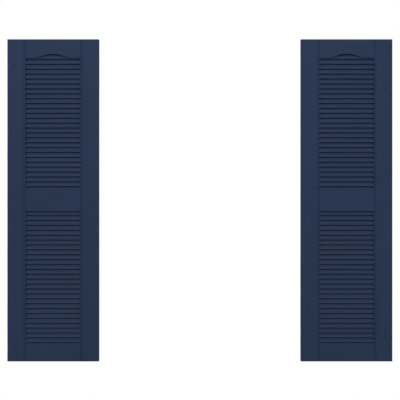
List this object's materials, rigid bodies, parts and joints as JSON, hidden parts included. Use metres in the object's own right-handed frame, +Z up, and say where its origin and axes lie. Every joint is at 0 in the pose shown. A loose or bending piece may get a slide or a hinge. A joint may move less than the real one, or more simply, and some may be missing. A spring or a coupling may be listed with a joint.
{
  "type": "louvred shutters",
  "caption": "Pair of fixed louvred window shutters with arched top rails, each moulded in one piece and screwed to the wall on either side of an opening.",
  "frame": {"origin": "in the plane of the wall, midway between the two shutters and at half their height", "axes": "+Z up, the shutters' fronts face -Y, +Y into the wall, +X to the right as seen from the front"},
  "size_m": [1.5782, 0.0777, 1.3208],
  "materials": {
    "shutter": "satin",
    "screw": "satin"
  },
  "bodies": {
    "root": {"left_shutter": "shutter", "right_shutter": "shutter", "left_screws": "screw", "right_screws": "screw"}
  },
  "joints": []
}
